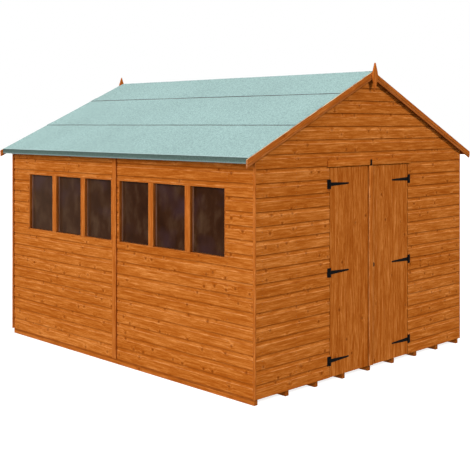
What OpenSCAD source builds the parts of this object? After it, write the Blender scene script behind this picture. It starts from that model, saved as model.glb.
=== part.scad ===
// Apex garden shed: framed and boarded wall panels on a joisted floor, a felted pitched roof,
// a row of windows down one side and a pair of ledged doors in the front gable.
// X runs across the gables, Y along the ridge (the doors face -Y) and Z is up from the ground.

/* [Building] */
// Length over the gable boarding
shed_length = 3660; // [3240:1:4900]
// Width over the side boarding
shed_width = 3010; // [2500:1:3700]
// Height of the roof underside at the outer face of the side walls
eaves_height = 2024; // [1980:1:2400]
// Pitch of the roof in degrees
roof_pitch = 24.9; // [18:0.1:34]
// How far behind the middle of the side walls their two panels meet
joint_y = 17; // [0:1:40]

/* [Floor] */
// Number of floor joists
joist_count = 9; // [5:2:13]
// Width of a joist
joist_w = 38; // [34:1:70]
// Height of a joist
joist_h = 51; // [34:1:95]
// Thickness of the floor boards
deck_t = 12; // [9:1:22]
// Gap between the ends of the floor and the back of the gable boarding
floor_gap = 6; // [5:0.5:12]

/* [Walls] */
// Thickness of the boarding
cladding_t = 14; // [10:1:20]
// Width of the studs and rails, seen from inside
stud_w = 44; // [34:1:60]
// Depth of the studs and rails, behind the boarding
stud_d = 34; // [28:1:60]
// Width of the strips at the corners
corner_strip_w = 22; // [18:1:45]
// Thickness of the strips at the corners
corner_strip_t = 14; // [10:1:25]
// Width of the strips over the joints between the side panels
cover_strip_w = 58; // [40:1:90]
// Thickness of the strips over the joints between the side panels
cover_strip_t = 15; // [10:1:25]

/* [Windows] */
// Width of the glass seen in each pane
pane_w = 427; // [300:1:440]
// Height of the glass seen in each pane
pane_h = 570; // [400:1:640]
// Width of the posts between panes
mullion_w = 69; // [50:1:80]
// Width of the thin frame seen around each row of panes
window_edge = 10; // [10:1:16]
// Height of the underside of the window frames above the ground
window_z = 1144; // [1000:1:1200]
// Distance from the joint between the panels to a window frame
window_inset = 54; // [50:1:80]
// Depth of the frame in front of the glass
glass_setback = 38; // [30:1:44]
// Thickness of the glass
glass_t = 4; // [3:1:6]
// How far the glass reaches behind the frame
glass_rebate = 8; // [5:1:9]

/* [Doors] */
// Width of the doorway
door_w = 1174; // [900:1:1420]
// Height of the top of the doorway above the ground
door_top = 1882; // [1780:1:1900]
// Gap between a door and the wall beside or above it
door_gap = 6; // [5:0.5:10]
// Gap between the two doors
meeting_gap = 8; // [6:0.5:12]
// Sideways place of the gap between the doors, from the middle of the doorway
meeting_x = -37; // [-60:1:0]
// Height of the bottom of the doors above the ground
door_bottom = 54; // [50:1:70]
// Width of the ledges and braces behind the doors
ledge_w = 95; // [70:1:120]
// Thickness of the ledges and braces
ledge_t = 20; // [15:1:28]
// Gap between the ends of the ledges and the edges of a door
ledge_inset = 34; // [28:1:60]
// Width of the strip over the gap between the doors
astragal_w = 57; // [35:1:70]
// Thickness of the strip over the gap between the doors
astragal_t = 13; // [8:1:18]
// Height of the trim over the doorway
head_trim_h = 58; // [56:1:100]
// Thickness of the trim over the doorway
head_trim_t = 12; // [8:1:20]
// How far the trim over the doorway reaches past it on each side
head_trim_side = 33; // [0:1:60]

/* [Ironmongery] */
// Height of the middle of the lowest hinge above the ground
hinge_low_z = 196; // [170:1:260]
// Distance between hinges
hinge_pitch = 768; // [640:1:780]
// Radius of a hinge knuckle
knuckle_r = 6; // [5:0.5:9]
// Radius of a hinge pin
pin_r = 3; // [2.5:0.5:4]
// Clearance around a pin
pin_clear = 0.05; // [0.02:0.01:0.1]
// Height of a hinge plate
hinge_plate_h = 80; // [70:1:120]
// Width of a hinge plate, from its knuckle
hinge_plate_w = 30; // [25:1:36]
// Height of the knuckle of a strap
strap_knuckle_h = 34; // [24:1:46]
// Length of a hinge strap from the pin
strap_l = 261; // [200:1:320]
// Width of a hinge strap at its tip
strap_tip_w = 13; // [8:1:20]
// Thickness of the hinge plates and straps
hinge_t = 2.5; // [2:0.5:4]
// Length of the turn button
button_l = 54; // [45:1:54]
// Width of the turn button
button_w = 15; // [12:1:22]
// Thickness of the turn button
button_t = 5; // [4:1:8]
// Sideways place of the turn button, from the middle of the doorway
button_x = -15; // [-40:1:60]
// Radius of the turn button's screw
button_screw_r = 2.5; // [2:0.5:4]
// Gap between the front of the strip on the door and the back of the turn button
button_gap = 5.5; // [5:0.5:10]

/* [Lock] */
// Height of the keyhole above the ground
keyhole_z = 970; // [940:1:990]
// Distance from the edge of the door to the keyhole
keyhole_inset = 78; // [65:1:90]
// Width of the keyhole plate
keyhole_plate_w = 22; // [16:1:30]
// Width and height of the lock case
lock_case = 82; // [70:1:90]
// Thickness of the lock case
lock_case_t = 18; // [15:1:22]

/* [Roof] */
// Thickness of the roof boards
roof_board_t = 12; // [9:1:20]
// How far the roof boards reach past the side walls
eaves_overhang = 108; // [80:1:200]
// How far the roof boards reach past the gables
verge_overhang = 23; // [20:1:80]
// Thickness of the roofing felt
felt_t = 3; // [2:0.5:5]
// Sideways place of the upper felt lap, from the ridge
felt_lap_high = 464; // [400:1:560]
// Sideways place of the lower felt lap, from the ridge
felt_lap_low = 1064; // [1000:1:1160]
// How far one strip of felt lies over the next
felt_lap = 75; // [50:1:100]
// Height of the felt turned down over the eaves
felt_fold = 46; // [40:1:80]
// Width of the battens under the eaves
eaves_batten_w = 22; // [16:1:40]
// Height of the battens under the eaves
eaves_batten_h = 32; // [20:1:36]
// Thickness of the barge boards
barge_t = 16; // [12:1:25]
// Upright height of the barge boards
barge_h = 66; // [60:1:110]
// How far the barge boards reach past the eaves
barge_reach = 30; // [4:1:60]
// How far the barge boards stand above the roof boards
barge_rise = 0; // [-10:1:6]
// Upright height of the purlins
purlin_h = 58; // [45:1:90]
// Width of the purlins
purlin_w = 38; // [30:1:60]
// Depth of the truss rafters
rafter_h = 70; // [45:1:95]
// Depth of the truss tie
tie_h = 70; // [45:1:95]
// Thickness of the truss timbers
truss_t = 34; // [25:1:50]

/* [Finials] */
// Height of a finial
finial_h = 242; // [160:1:320]
// Width of a finial at its widest
finial_w = 74; // [50:1:90]
// Width of a finial's waist under the tip
finial_neck_w = 52; // [20:1:60]
// Thickness of a finial
finial_t = 20; // [12:1:25]
// Height of a finial's tip above the top of the barge boards
finial_rise = 80; // [60:1:160]

/* [Hidden] */
half_l = shed_length / 2;
half_w = shed_width / 2;
cladding_z = joist_h;                     // the side boarding stands on the outer joists
seat = 0.1;                               // gap left between pieces that lie on a slope
deck_z = joist_h + deck_t;
frame_in = cladding_t + stud_d;          // depth of a whole wall
plate_z = deck_z + stud_w;               // top of the bottom rails
slope = tan(roof_pitch);
board_v = roof_board_t / cos(roof_pitch); // upright thickness of the roof boards
felt_v = felt_t / cos(roof_pitch);
eaves_x = half_w + eaves_overhang;
verge_y = half_l + verge_overhang;
lap_x = felt_lap * cos(roof_pitch);       // lap of the felt, measured level
felt_ramp = 12;                           // length over which a strip climbs onto the next
felt_clear = 1;                           // gap between the ends of two strips under a lap
ridge_gap = 1;                            // gap at the ridge between the two slopes' pieces
panel_clear = 1;                          // gap between the frames of neighbouring panels
gable_in = half_w - frame_in - panel_clear;
panel_end = half_l - cladding_t;          // where the side panels end, inside the gables
corner_stud_x = gable_in - stud_w / 2;
jamb_stud_x = door_w / 2 + stud_w / 2;
purlin_x = (corner_stud_x + jamb_stud_x) / 2;

// Heights at a distance from the middle: top of what carries the roof boards, top of the
// roof boards and top of the truss rafters
function roof_under(x) = eaves_height + (half_w - abs(x)) * slope;
function roof_top(x) = roof_under(x) + seat + board_v;
function rafter_top(x) = roof_under(x) - purlin_h - seat;
purlin_low = rafter_top(purlin_x + purlin_w / 2);

// doors
hinge_x = door_w / 2 - door_gap / 2;
hinge_y = -half_l - knuckle_r;
leaf_x = door_w / 2 - door_gap;
meet_left = meeting_x - meeting_gap / 2;
meet_right = meeting_x + meeting_gap / 2;
leaf_top = door_top - door_gap;
hinge_zs = [for (i = [0:2]) hinge_low_z + i * hinge_pitch];
ledge_y = -half_l + cladding_t;
button_y = -half_l - astragal_t - button_gap;
button_z = door_top + button_w / 2;
hub_r = 6;
hub_clear = 0.3;                          // slack of the turn button along its screw
knuckle_gap = 0.5;                        // gap between the knuckles of one hinge
brace_gap = 1;                            // gap between a brace's ends and the ledges
keyhole_plate_t = 2;
lock_inset = 10;                          // from the end of the middle ledge to the lock case

// windows
window_l = 3 * pane_w + 2 * mullion_w + 2 * window_edge;
window_h = pane_h + 2 * window_edge;
pane_pitch = pane_w + mullion_w;

wood = [0.72, 0.40, 0.17];
wood_pale = [0.78, 0.48, 0.24];
wood_dark = [0.60, 0.33, 0.14];
felt_green = [0.60, 0.76, 0.74];
black_iron = [0.08, 0.08, 0.08];
dark_glass = [0.25, 0.20, 0.17, 0.6];

// A box between two corners
module box(low, high) {
    translate(low) cube(high - low);
}

// The same shape on the left and on the right
module both_sides() {
    children();
    mirror([1, 0, 0]) children();
}

// The same shape at the front and at the back
module both_ends() {
    children();
    mirror([0, 1, 0]) children();
}

// An outline in X and Z, standing from y_front back through depth
module upright(points, y_front, depth) {
    translate([0, y_front + depth, 0])
        rotate([90, 0, 0])
            linear_extrude(depth) polygon(points);
}

// ---- floor ----

module floor_joists() {
    reach = half_w - joist_w / 2;
    end_y = half_l - cladding_t - floor_gap;
    color(wood_dark)
        for (i = [0:joist_count - 1]) {
            x = -reach + i * 2 * reach / (joist_count - 1);
            box([x - joist_w / 2, -end_y, 0], [x + joist_w / 2, end_y, joist_h]);
        }
}

module floor_deck() {
    edge_x = half_w - cladding_t;
    edge_y = half_l - cladding_t - floor_gap;
    color(wood_pale)
        box([-edge_x, -edge_y, joist_h], [edge_x, edge_y, deck_z]);
}

// ---- gable walls ----

module front_wall_left() {
    edge = door_w / 2;
    color(wood)
        upright([[-half_w, cladding_z], [-edge, cladding_z], [-edge, roof_under(edge)],
                 [-half_w, eaves_height]], -half_l, cladding_t);
}

module front_wall_right() {
    mirror([1, 0, 0]) front_wall_left();
}

module front_wall_over_door() {
    edge = door_w / 2;
    color(wood)
        upright([[-edge, door_top], [edge, door_top], [edge, roof_under(edge)],
                 [0, roof_under(0)], [-edge, roof_under(edge)]], -half_l, cladding_t);
}

module back_wall() {
    color(wood)
        upright([[-half_w, cladding_z], [half_w, cladding_z], [half_w, eaves_height],
                 [0, roof_under(0)], [-half_w, eaves_height]],
                half_l - cladding_t, cladding_t);
}

// One stud behind the front gable, centred on x and cut under the roof
module gable_stud(x, low = plate_z) {
    box([x - stud_w / 2, -half_l + cladding_t, low],
        [x + stud_w / 2, -half_l + frame_in, roof_under(abs(x) + stud_w / 2)]);
}

module gable_studs() {
    color(wood_pale) {
        both_sides() {
            gable_stud(jamb_stud_x, deck_z);
            both_ends() {
                gable_stud(corner_stud_x);
                box([purlin_x - stud_w / 2, -half_l + cladding_t, plate_z],
                    [purlin_x + stud_w / 2, -half_l + frame_in, purlin_low]);
            }
        }
        mirror([0, 1, 0]) gable_stud(0);
    }
}

module gable_rails() {
    front = -half_l + cladding_t;
    rear = -half_l + frame_in;
    color(wood_pale) {
        both_sides()
            box([door_w / 2 + stud_w, front, deck_z], [gable_in, rear, plate_z]);
        box([-door_w / 2, front, door_top], [door_w / 2, rear, door_top + stud_w]);
        mirror([0, 1, 0])
            box([-gable_in, front, deck_z], [gable_in, rear, plate_z]);
    }
}

// ---- side walls ----

// Boarding of the left wall between two places along it
module side_boarding(from, to) {
    box([-half_w, from, cladding_z], [-half_w + cladding_t, to, eaves_height]);
}

// Shapes placed forward of the joint between the side panels, and the same behind it
module both_panels() {
    translate([0, joint_y, 0]) both_ends() children();
}

module window_hole() {
    box([-half_w - 1, window_inset, window_z],
        [-half_w + cladding_t + 1, window_inset + window_l, window_z + window_h]);
}

module left_wall_front() {
    color(wood)
        difference() {
            side_boarding(-panel_end, joint_y);
            both_panels() window_hole();
        }
}

module left_wall_back() {
    color(wood)
        difference() {
            side_boarding(joint_y, panel_end);
            both_panels() window_hole();
        }
}

module right_wall_front() {
    color(wood)
        mirror([1, 0, 0]) side_boarding(-panel_end, joint_y);
}

module right_wall_back() {
    color(wood)
        mirror([1, 0, 0]) side_boarding(joint_y, panel_end);
}

// A stud behind the left wall, starting at y
module side_stud(y) {
    box([-half_w + cladding_t, y, plate_z],
        [-half_w + frame_in, y + stud_w, eaves_height - stud_w]);
}

module side_wall_studs() {
    color(wood_pale) {
        both_sides() {
            both_ends() side_stud(-panel_end);
            both_panels() side_stud(panel_clear);
        }
        both_panels() side_stud(window_inset + window_l);
        mirror([1, 0, 0])
            for (i = [1:2]) {
                side_stud(joint_y - i * (joint_y + panel_end - stud_w) / 3);
                side_stud(joint_y + i * (panel_end - joint_y - stud_w) / 3);
            }
    }
}

// A rail behind the left wall between two places along it, with its underside at z
module side_rail(from, to, z) {
    box([-half_w + cladding_t, from, z], [-half_w + frame_in, to, z + stud_w]);
}

module side_wall_rails() {
    color(wood_pale) {
        both_sides()
            for (z = [deck_z, eaves_height - stud_w]) {
                side_rail(-panel_end, joint_y - panel_clear, z);
                side_rail(joint_y + panel_clear, panel_end, z);
            }
        both_panels()
            for (z = [window_z - stud_w, window_z + window_h])
                side_rail(panel_clear + stud_w, window_inset + window_l, z);
    }
}

// ---- strips ----

module corner_strips() {
    color(wood_pale)
        both_ends() both_sides()
            box([-half_w - corner_strip_t, -half_l, cladding_z],
                [-half_w, -half_l + corner_strip_w, roof_under(half_w + corner_strip_t)]);
}

module panel_cover_strips() {
    color(wood_pale)
        both_sides()
            translate([0, joint_y, 0])
                box([-half_w - cover_strip_t, -cover_strip_w / 2, cladding_z],
                    [-half_w, cover_strip_w / 2, roof_under(half_w + cover_strip_t)]);
}

// ---- windows ----

module window_posts() {
    low = window_z + window_edge;
    high = low + pane_h;
    x_out = -half_w;
    x_in = -half_w + glass_setback;
    color(wood_pale)
        both_panels() {
            for (i = [0:1]) {
                y = window_inset + window_edge + pane_w + i * pane_pitch;
                box([x_out, y, low], [x_in, y + mullion_w, high]);
            }
            for (y = [window_inset, window_inset + window_l - window_edge])
                box([x_out, y, low], [x_in, y + window_edge, high]);
        }
}

module window_rails() {
    color(wood_pale)
        both_panels()
            for (z = [window_z, window_z + window_h - window_edge])
                box([-half_w, window_inset, z],
                    [-half_w + glass_setback, window_inset + window_l, z + window_edge]);
}

module window_glass() {
    low = window_z + window_edge - glass_rebate;
    high = window_z + window_edge + pane_h + glass_rebate;
    x = -half_w + glass_setback;
    color(dark_glass)
        both_panels()
            for (i = [0:2]) {
                y = window_inset + window_edge + i * pane_pitch;
                box([x, y - glass_rebate, low], [x + glass_t, y + pane_w + glass_rebate, high]);
            }
}

// ---- doorway ----

module door_head_trim() {
    edge = door_w / 2 + head_trim_side;
    color(wood_pale)
        box([-edge, -half_l - head_trim_t, door_top],
            [edge, -half_l, door_top + head_trim_h]);
}

// Screw of the turn button, with the washer that holds the button clear of the doors
module turn_button_screw() {
    back = -half_l - head_trim_t;
    front = button_y - button_t;
    color(black_iron)
        translate([button_x, 0, button_z])
            rotate([90, 0, 0]) {
                translate([0, 0, -back])
                    cylinder(h = back - button_y - hub_clear, r = hub_r, $fn = 32);
                translate([0, 0, -back])
                    cylinder(h = back - front + hub_clear, r = button_screw_r, $fn = 32);
                translate([0, 0, -front + hub_clear])
                    cylinder(h = 1.5, r = hub_r - 1, $fn = 32);
            }
}

// The turn button, standing up from its screw
module turn_button() {
    half = button_w / 2;
    color(black_iron)
        translate([button_x, button_y, button_z])
            rotate([90, 0, 0])
                difference() {
                    linear_extrude(button_t) {
                        circle(r = half, $fn = 32);
                        translate([-half, 0]) square([button_w, button_l - button_w]);
                        translate([0, button_l - button_w]) circle(r = half, $fn = 32);
                    }
                    translate([0, 0, -1])
                        cylinder(h = button_t + 2, r = button_screw_r + pin_clear, $fn = 32);
                }
}

// ---- hinges ----

// Fixed half of a hinge of the left door, with its pin
module hinge_plate() {
    knuckle_z = strap_knuckle_h / 2 + knuckle_gap;
    knuckle_h = hinge_plate_h / 2 - knuckle_z;
    translate([-hinge_x, hinge_y, 0]) {
        box([-knuckle_r - 1 - hinge_plate_w, knuckle_r - hinge_t, -hinge_plate_h / 2],
            [-knuckle_r - 1, knuckle_r, hinge_plate_h / 2]);
        for (z = [knuckle_z, -hinge_plate_h / 2]) {
            translate([0, 0, z]) cylinder(h = knuckle_h, r = knuckle_r, $fn = 32);
            box([-knuckle_r - 2, knuckle_r - hinge_t, z], [0, knuckle_r, z + knuckle_h]);
        }
        translate([0, 0, -hinge_plate_h / 2])
            cylinder(h = hinge_plate_h, r = pin_r, $fn = 32);
    }
}

module hinge_plates() {
    color(black_iron)
        both_sides()
            for (z = hinge_zs) translate([0, 0, z]) hinge_plate();
}

// Moving half of a hinge, for the left door (side -1) or the right door (side 1)
module hinge_strap(side) {
    root_w = strap_knuckle_h / 2;
    tip = strap_l - strap_tip_w / 2;
    translate([side * hinge_x, hinge_y, 0])
        difference() {
            union() {
                translate([0, 0, -strap_knuckle_h / 2])
                    cylinder(h = strap_knuckle_h, r = knuckle_r, $fn = 32);
                upright([[0, -root_w], [-side * tip, -strap_tip_w / 2],
                         [-side * tip, strap_tip_w / 2], [0, root_w]],
                        knuckle_r - hinge_t, hinge_t);
                translate([-side * tip, knuckle_r, 0])
                    rotate([90, 0, 0]) cylinder(h = hinge_t, r = strap_tip_w / 2, $fn = 32);
            }
            translate([0, 0, -strap_knuckle_h])
                cylinder(h = 2 * strap_knuckle_h, r = pin_r + pin_clear, $fn = 32);
        }
}

module left_hinge_straps() {
    color(black_iron)
        for (z = hinge_zs) translate([0, 0, z]) hinge_strap(-1);
}

module right_hinge_straps() {
    color(black_iron)
        for (z = hinge_zs) translate([0, 0, z]) hinge_strap(1);
}

// ---- doors ----

module left_door_boards() {
    color(wood)
        box([-leaf_x, -half_l, door_bottom], [meet_left, ledge_y, leaf_top]);
}

module right_door_boards() {
    color(wood)
        box([meet_right, -half_l, door_bottom], [leaf_x, ledge_y, leaf_top]);
}

// Ledges and braces behind a door between two places across the doorway; each brace rises
// from the hinge side, on the left when rise_right is true
module ledges(x_low, x_high, rise_right) {
    low = x_low + ledge_inset;
    high = x_high - ledge_inset;
    run = high - low - ledge_w;
    color(wood_pale) {
        for (z = hinge_zs)
            box([low, ledge_y, z - ledge_w / 2], [high, ledge_y + ledge_t, z + ledge_w / 2]);
        for (i = [0:1]) {
            z_low = hinge_zs[i] + ledge_w / 2 + brace_gap;
            z_high = hinge_zs[i + 1] - ledge_w / 2 - brace_gap;
            start = rise_right ? low : low + run;
            end = rise_right ? low + run : low;
            upright([[start, z_low], [start + ledge_w, z_low],
                     [end + ledge_w, z_high], [end, z_high]], ledge_y, ledge_t);
        }
    }
}

module left_door_ledges() {
    ledges(-leaf_x, meet_left, true);
}

module right_door_ledges() {
    ledges(meet_right, leaf_x, false);
}

// Strip down the edge of the right door, beside the gap between the doors
module door_cover_strip() {
    color(wood_pale)
        box([meet_right, -half_l - astragal_t, door_bottom],
            [meet_right + astragal_w, -half_l, leaf_top]);
}

module keyhole_plate() {
    r = keyhole_plate_w / 2;
    color(black_iron)
        translate([meet_right + keyhole_inset, -half_l, keyhole_z])
            rotate([90, 0, 0])
                linear_extrude(keyhole_plate_t) {
                    translate([0, r / 2]) circle(r = r, $fn = 32);
                    translate([-r, -r]) square([2 * r, 1.5 * r]);
                    translate([0, -r]) circle(r = r, $fn = 32);
                }
}

module door_lock() {
    back = ledge_y + ledge_t;
    color(black_iron)
        box([meet_right + ledge_inset + lock_inset, back, keyhole_z - lock_case / 2],
            [meet_right + ledge_inset + lock_inset + lock_case, back + lock_case_t,
             keyhole_z + lock_case / 2]);
}

// ---- roof ----

module roof_boards_left() {
    top = ridge_gap / 2;
    color(wood_pale)
        upright([[-top, roof_top(top)], [-eaves_x, roof_top(eaves_x)],
                 [-eaves_x, roof_top(eaves_x) - board_v], [-top, roof_top(top) - board_v]],
                -verge_y, 2 * verge_y);
}

module roof_boards_right() {
    mirror([1, 0, 0]) roof_boards_left();
}

module eaves_battens() {
    inner = eaves_x - eaves_batten_w;
    low = roof_under(eaves_x) - eaves_batten_h;
    color(wood)
        both_sides()
            upright([[-eaves_x, low], [-inner, low],
                     [-inner, roof_under(inner)], [-eaves_x, roof_under(eaves_x)]],
                    -verge_y, 2 * verge_y);
}

module purlins() {
    near = purlin_x - purlin_w / 2;
    far = purlin_x + purlin_w / 2;
    color(wood_pale)
        both_sides()
            upright([[-near, roof_under(near)], [-far, roof_under(far)],
                     [-far, roof_under(far) - purlin_h], [-near, roof_under(near) - purlin_h]],
                    -panel_end, 2 * panel_end);
}

module truss_rafters() {
    top = ridge_gap / 2;
    foot = half_w - frame_in;
    color(wood_pale)
        both_sides()
            upright([[-top, rafter_top(top)], [-foot, rafter_top(foot)],
                     [-foot, rafter_top(foot) - rafter_h], [-top, rafter_top(top) - rafter_h]],
                    joint_y - truss_t / 2, truss_t);
}

module truss_tie() {
    foot = half_w - frame_in;
    low = rafter_top(foot) - rafter_h;
    color(wood_pale)
        translate([0, joint_y, 0])
            box([-foot, truss_t / 2, low], [foot, 1.5 * truss_t, low + tie_h]);
}

// ---- felt ----

// A point over the roof boards, on the underside or the top of a layer of felt
function felt_below(x, layer) = [x, roof_top(x) + layer * seat + (layer - 1) * felt_v];
function felt_above(x, layer) = felt_below(x, layer) + [0, felt_v];

// Outline of the right half of a strip whose lower end laps over the next strip
function lapped(x_high, x_low) = [
    felt_below(x_high, 1), felt_below(x_low - lap_x, 1), felt_below(x_low - lap_x, 2),
    felt_below(x_low, 2), felt_above(x_low, 2), felt_above(x_low - lap_x, 2),
    felt_above(x_low - lap_x - felt_ramp, 1), felt_above(x_high, 1)];

module felt_lower() {
    edge = eaves_x + felt_t;
    fold_low = roof_top(eaves_x) - felt_fold;
    start = felt_lap_low - lap_x + felt_clear;
    color(felt_green)
        both_sides()
            upright([felt_below(start, 1), felt_below(eaves_x, 1), [eaves_x, fold_low],
                     [edge, fold_low], felt_above(edge, 1), felt_above(start, 1)],
                    -verge_y, 2 * verge_y);
}

module felt_middle() {
    color(felt_green)
        both_sides()
            upright(lapped(felt_lap_high - lap_x + felt_clear, felt_lap_low),
                    -verge_y, 2 * verge_y);
}

module felt_ridge() {
    right = lapped(0, felt_lap_high);
    left = [for (i = [len(right) - 2:-1:1]) [-right[i][0], right[i][1]]];
    color(felt_green)
        upright(concat(right, left), -verge_y, 2 * verge_y);
}

// ---- barge boards and finials ----

module front_barge_boards() {
    top = ridge_gap / 2;
    foot = eaves_x + barge_reach;
    color(wood)
        both_sides()
            upright([[top, roof_top(top) + barge_rise], [foot, roof_top(foot) + barge_rise],
                     [foot, roof_top(foot) + barge_rise - barge_h],
                     [top, roof_top(top) + barge_rise - barge_h]],
                    -verge_y - barge_t, barge_t);
}

module back_barge_boards() {
    mirror([0, 1, 0]) front_barge_boards();
}

module front_finial() {
    tip = roof_top(0) + barge_rise + finial_rise;
    half = finial_w / 2;
    neck = finial_neck_w / 2;
    color(wood)
        upright([[0, tip], [neck, tip - 0.3 * finial_h], [half, tip - 0.46 * finial_h],
                 [0.9 * half, tip - 0.62 * finial_h], [0, tip - finial_h],
                 [-0.9 * half, tip - 0.62 * finial_h], [-half, tip - 0.46 * finial_h],
                 [-neck, tip - 0.3 * finial_h]],
                -verge_y - barge_t - finial_t, finial_t);
}

module back_finial() {
    mirror([0, 1, 0]) front_finial();
}

floor_joists();
floor_deck();
front_wall_left();
front_wall_right();
front_wall_over_door();
back_wall();
left_wall_front();
left_wall_back();
right_wall_front();
right_wall_back();
gable_studs();
gable_rails();
side_wall_studs();
side_wall_rails();
corner_strips();
panel_cover_strips();
window_posts();
window_rails();
window_glass();
door_head_trim();
turn_button_screw();
hinge_plates();
roof_boards_left();
roof_boards_right();
eaves_battens();
purlins();
truss_rafters();
truss_tie();
felt_lower();
felt_middle();
felt_ridge();
front_barge_boards();
back_barge_boards();
front_finial();
back_finial();
left_door_boards();
left_door_ledges();
left_hinge_straps();
right_door_boards();
right_door_ledges();
right_hinge_straps();
door_cover_strip();
keyhole_plate();
door_lock();
turn_button();
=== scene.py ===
import math
import random

import bmesh
import bpy
from mathutils import Matrix, Vector


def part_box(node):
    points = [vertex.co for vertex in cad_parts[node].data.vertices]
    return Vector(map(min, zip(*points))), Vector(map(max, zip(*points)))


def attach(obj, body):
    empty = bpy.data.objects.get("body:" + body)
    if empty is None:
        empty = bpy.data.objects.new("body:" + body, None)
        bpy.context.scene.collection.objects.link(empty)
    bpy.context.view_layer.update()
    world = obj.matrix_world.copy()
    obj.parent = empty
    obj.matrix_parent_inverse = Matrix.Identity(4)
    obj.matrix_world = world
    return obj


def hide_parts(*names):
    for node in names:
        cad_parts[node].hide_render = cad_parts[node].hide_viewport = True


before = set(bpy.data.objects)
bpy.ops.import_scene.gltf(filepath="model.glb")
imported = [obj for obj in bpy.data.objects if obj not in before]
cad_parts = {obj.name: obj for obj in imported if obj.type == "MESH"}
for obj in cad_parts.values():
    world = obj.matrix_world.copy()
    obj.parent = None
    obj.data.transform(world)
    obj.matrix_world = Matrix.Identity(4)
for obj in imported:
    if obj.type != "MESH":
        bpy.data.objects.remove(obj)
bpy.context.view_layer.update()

# all lengths are in metres

grainName = "grain"             # place in the timber: along it, over its wide face, through it
toneName = "tone"               # one random number for each board
wearAndShadeName = "wearAndShade"               # 1 on pale worn edges and painted highlights, -1 where stain and dirt gather and where shade is painted
sharpAngle = math.radians(25)   # faces that meet at more than this keep a crisp edge
flatAngle = 0.01                # faces that meet at less than this become one, in radians
weldDistance = 0.00001
slack = 0.0005                  # places nearer than this count as the same
mostly = 0.8                    # a face looks one way when its normal has this much of it
nearlyFlat = 0.9                # and straight that way when it has this much

timber = dict(
    easedAngle=0.5,     # edges sharper than this are eased, in radians
    easedProfile=0.6,   # 0.5 is round, and more is fuller
    grainShift=40,      # how far apart two boards may lie in the grain pattern
    cutWear=-0.45,      # on sawn ends
)


# meshes are gathered solid by solid in a stack, then made into one piece

def emptyStack():
    return dict(verts=[], faces=[], grain=[], tone=[], wearAndShade=[], finish=[])


def addSolid(stack, bm, along=(1, 0, 0), seed=1, finish=0, wearAndShadeAt=None, wide=None,
             edgePale=0.25):
    along = Vector(along).normalized()
    if wide is None:
        wide = (0, 0, 1) if abs(along.z) < mostly else (1, 0, 0)
    wide = Vector(wide)
    wide = (wide - along * wide.dot(along)).normalized()
    through = along.cross(wide)
    dice = random.Random(seed)
    shift = Vector([dice.uniform(0, timber["grainShift"]) for axis in range(3)])
    tone = dice.random()
    first = len(stack["verts"])
    bm.normal_update()
    bm.verts.index_update()
    for v in bm.verts:
        stack["verts"].append(v.co.copy())
        stack["grain"].extend((along.dot(v.co) + shift.x, wide.dot(v.co) + shift.y,
                               through.dot(v.co) + shift.z))
        stack["tone"].append(tone)
    eased = bm.faces.layers.int.get("eased")
    for f in bm.faces:
        stack["faces"].append([first + v.index for v in f.verts])
        stack["finish"].append(finish)
        for v in f.verts:
            if wearAndShadeAt:
                stack["wearAndShade"].append(wearAndShadeAt(v.co, f.normal))
            elif eased and f[eased]:
                stack["wearAndShade"].append(edgePale)
            elif abs(f.normal.dot(along)) > mostly:
                stack["wearAndShade"].append(timber["cutWear"])
            else:
                stack["wearAndShade"].append(0.0)
    bm.free()


def makePiece(stack, name, body, finishes, replaced=()):
    mesh = bpy.data.meshes.new(name)
    mesh.from_pydata([tuple(v) for v in stack["verts"]], [], stack["faces"])
    mesh.attributes.new(grainName, "FLOAT_VECTOR", "POINT").data.foreach_set(
        "vector", stack["grain"])
    mesh.attributes.new(toneName, "FLOAT", "POINT").data.foreach_set("value", stack["tone"])
    mesh.attributes.new(wearAndShadeName, "FLOAT", "CORNER").data.foreach_set("value", stack["wearAndShade"])
    for finish in finishes:
        mesh.materials.append(finish)
    mesh.polygons.foreach_set("material_index", stack["finish"])
    mesh.shade_smooth()
    mesh.set_sharp_from_angle(angle=sharpAngle)
    mesh.update()
    piece = bpy.data.objects.new(name, mesh)
    bpy.context.scene.collection.objects.link(piece)
    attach(piece, body)
    if replaced:
        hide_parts(*replaced)


def closedSolid(bm):
    bmesh.ops.recalc_face_normals(bm, faces=bm.faces)
    return bm


def skin(bm, rows):
    # faces from each ring of points to the next, and a face over both ends
    rings = [[bm.verts.new(p) for p in row] for row in rows]
    for near, far in zip(rings, rings[1:]):
        for i in range(len(near)):
            j = (i + 1) % len(near)
            bm.faces.new((near[i], far[i], far[j], near[j]))
    bm.faces.new(rings[0])
    return bm.faces.new(rings[-1])


def prism(rows):
    # a solid through a row of outlines with the same number of points each
    bm = bmesh.new()
    skin(bm, rows)
    return closedSolid(bm)


def softened(bm, width, steps=2):
    # rounds the sharp edges, and marks the faces that this makes
    eased = bm.faces.layers.int.new("eased")
    edges = [e for e in bm.edges
             if e.is_manifold and e.calc_face_angle(0) > timber["easedAngle"]]
    made = bmesh.ops.bevel(bm, geom=edges, offset=width, segments=steps, affect="EDGES",
                           profile=timber["easedProfile"], clamp_overlap=True)
    for face in made["faces"]:
        face[eased] = 1
    return bm


def partBox(bm):
    low = Vector([min(v.co[k] for v in bm.verts) for k in range(3)])
    high = Vector([max(v.co[k] for v in bm.verts) for k in range(3)])
    return low, high


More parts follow.
